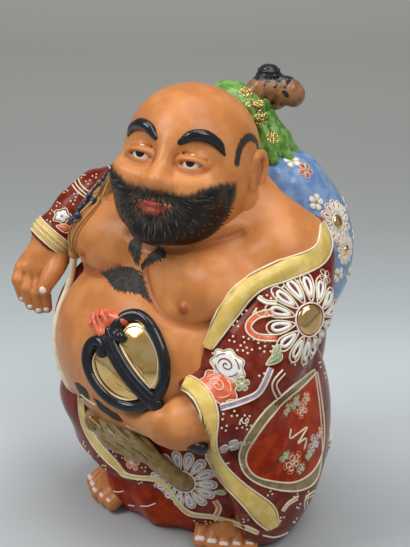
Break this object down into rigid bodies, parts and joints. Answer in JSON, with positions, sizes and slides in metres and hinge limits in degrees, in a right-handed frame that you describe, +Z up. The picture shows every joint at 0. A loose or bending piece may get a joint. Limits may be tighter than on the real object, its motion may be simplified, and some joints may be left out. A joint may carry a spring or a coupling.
{
  "type": "laughing buddha statue",
  "caption": "Standing glazed porcelain figure of a bald, bearded, big-bellied monk who holds a fan and carries a tied sack, with a flat base to stand on a shelf.",
  "frame": {"origin": "on the floor, in the flat underside of the base slab, below the middle of the figure", "axes": "+Z up; the figure faces -Y; +X is the figure's own left"},
  "size_m": [0.2228, 0.2156, 0.2969],
  "materials": {
    "head": "porcelain, satin skin glaze with a painted black beard and brows",
    "torso": "porcelain, satin orange-brown skin glaze",
    "right_hand": "porcelain, satin skin glaze, white nails",
    "left_hand": "porcelain, satin skin glaze",
    "right_foot": "porcelain, satin skin glaze, white nails",
    "left_foot": "porcelain, satin skin glaze, white nails",
    "right_sleeve": "porcelain, maroon overglaze enamel with raised cream lines and a yellow cuff",
    "left_sleeve": "porcelain, maroon overglaze enamel with raised flowers and yellow bands",
    "robe": "porcelain, maroon overglaze enamel with raised flowers and yellow hem",
    "underskirt": "porcelain, orange-red glaze with white dashes",
    "inner_collar": "porcelain, ochre glaze",
    "prayer_beads": "porcelain, dark blue gloss glaze",
    "sash": "porcelain, olive-brown glaze with gilt touches",
    "fan_handle": "porcelain, black gloss glaze",
    "fan_rim_right": "porcelain, black gloss glaze",
    "fan_rim_left": "porcelain, black gloss glaze",
    "fan_leaf_right": "porcelain under bright gold lustre",
    "fan_leaf_left": "porcelain under bright gold lustre",
    "fan_cord": "porcelain, orange-red gloss glaze",
    "sack": "porcelain, mottled blue glaze with raised small flowers",
    "sack_tie": "porcelain, green gloss glaze",
    "staff": "porcelain, brown glaze with black streaks",
    "base_slab": "unglazed porcelain"
  },
  "bodies": {
    "root": {"head": "head", "torso": "torso", "right_hand": "right_hand", "left_hand": "left_hand", "right_foot": "right_foot", "left_foot": "left_foot", "right_sleeve": "right_sleeve", "left_sleeve": "left_sleeve", "robe": "robe", "underskirt": "underskirt", "inner_collar": "inner_collar", "prayer_beads": "prayer_beads", "sash": "sash", "fan_handle": "fan_handle", "fan_rim_right": "fan_rim_right", "fan_rim_left": "fan_rim_left", "fan_leaf_right": "fan_leaf_right", "fan_leaf_left": "fan_leaf_left", "fan_cord": "fan_cord", "sack": "sack", "sack_tie": "sack_tie", "staff": "staff", "base_slab": "base_slab"}
  },
  "joints": []
}
